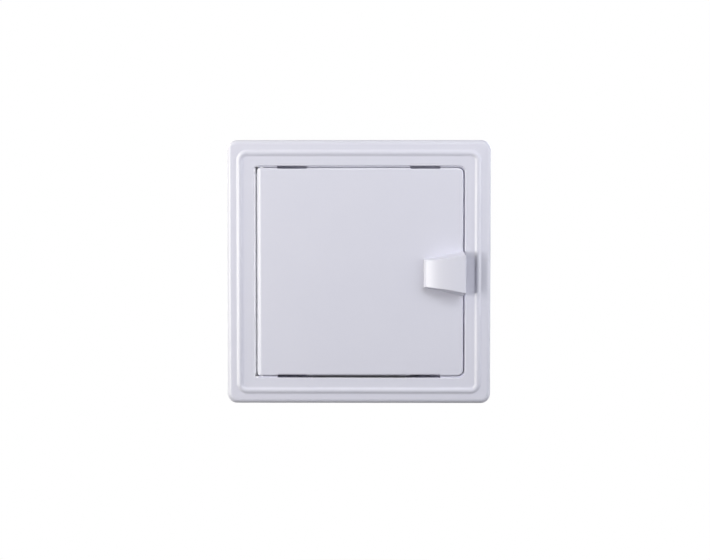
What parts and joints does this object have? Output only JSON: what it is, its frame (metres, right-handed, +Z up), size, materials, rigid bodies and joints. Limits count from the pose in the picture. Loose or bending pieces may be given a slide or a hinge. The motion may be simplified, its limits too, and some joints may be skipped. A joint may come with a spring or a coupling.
{
  "type": "access panel",
  "caption": "Square flush access panel for a bath front or wall: flanged frame with collar, side-hinged door with a hollow finger pull, magnet catch and spring wall clips.",
  "frame": {"origin": "middle of the wall cut-out, in the plane of the finished wall that the back of the flange rests on", "axes": "+Y into the wall along the collar, the door faces -Y, +X from the hinge side to the handle side, +Z up"},
  "size_m": [0.218, 0.0438, 0.218],
  "materials": {
    "white_plastic": "satin moulded, cool white",
    "catch_plastic": "plain moulded",
    "spring_steel": "rolled spring strip",
    "plated_steel": "zinc plated",
    "screw_steel": "zinc plated",
    "magnet": "ground ferrite"
  },
  "bodies": {
    "frame": {"frame": "white_plastic", "wall_clip_top_left": "spring_steel", "wall_clip_top_right": "spring_steel", "wall_clip_bottom_left": "spring_steel", "wall_clip_bottom_right": "spring_steel", "catch_housing": "catch_plastic", "catch_magnet": "magnet", "pole_plate_inner": "plated_steel", "pole_plate_outer": "plated_steel", "catch_screw_upper": "screw_steel", "catch_screw_lower": "screw_steel"},
    "door": {"door": "white_plastic", "pull_handle": "white_plastic", "handle_screw_upper": "screw_steel", "handle_screw_lower": "screw_steel", "strike_plate": "plated_steel", "strike_screw_upper": "screw_steel", "strike_screw_lower": "screw_steel", "hinge_pin_upper": "plated_steel", "hinge_pin_lower": "plated_steel"}
  },
  "joints": [
    {"name": "door_hinge", "type": "hinge", "parent": "frame", "child": "door", "pos_m": [-0.08, -0.0006, 0], "axis": [0, 0, -1], "range_deg": [0, 110]}
  ]
}
